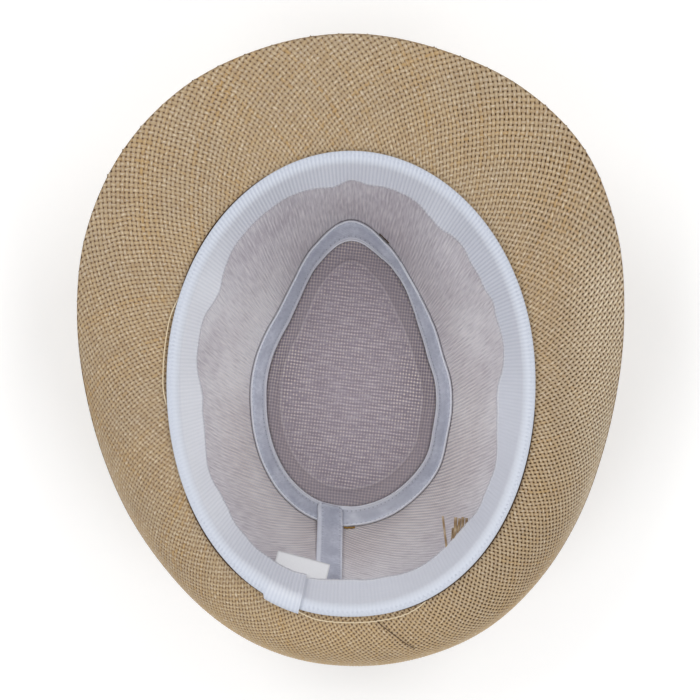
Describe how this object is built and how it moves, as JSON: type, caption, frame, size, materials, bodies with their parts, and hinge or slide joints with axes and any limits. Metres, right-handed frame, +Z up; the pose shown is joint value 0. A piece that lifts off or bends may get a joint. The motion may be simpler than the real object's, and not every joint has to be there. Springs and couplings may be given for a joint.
{
  "type": "woven straw trilby, lying on its crown",
  "caption": "Lined straw trilby with a teardrop crown, a ribbed sweatband and a brim that dips in front and curls up behind.",
  "frame": {"origin": "middle of the hat's box, on the surface that the crown rests on", "axes": "+Z up through the opening, which faces up; -Y towards the front of the hat, so -X is the wearer's left"},
  "size_m": [0.2498, 0.2855, 0.1159],
  "materials": {
    "straw_cloth": "open plain weave of golden paper straw",
    "lining_cloth": "thin matt pinkish grey weave",
    "grosgrain_ribbon": "white ribbed ribbon",
    "seam_tape": "bluish white tape",
    "label_cloth": "white satin tape, no text"
  },
  "bodies": {
    "root": {"brim": "straw_cloth", "crown_side": "straw_cloth", "crown_tip": "straw_cloth", "side_lining": "lining_cloth", "tip_lining": "lining_cloth", "sweatband": "grosgrain_ribbon", "tip_tape": "seam_tape", "back_seam_tape": "seam_tape", "label": "label_cloth"}
  },
  "joints": []
}
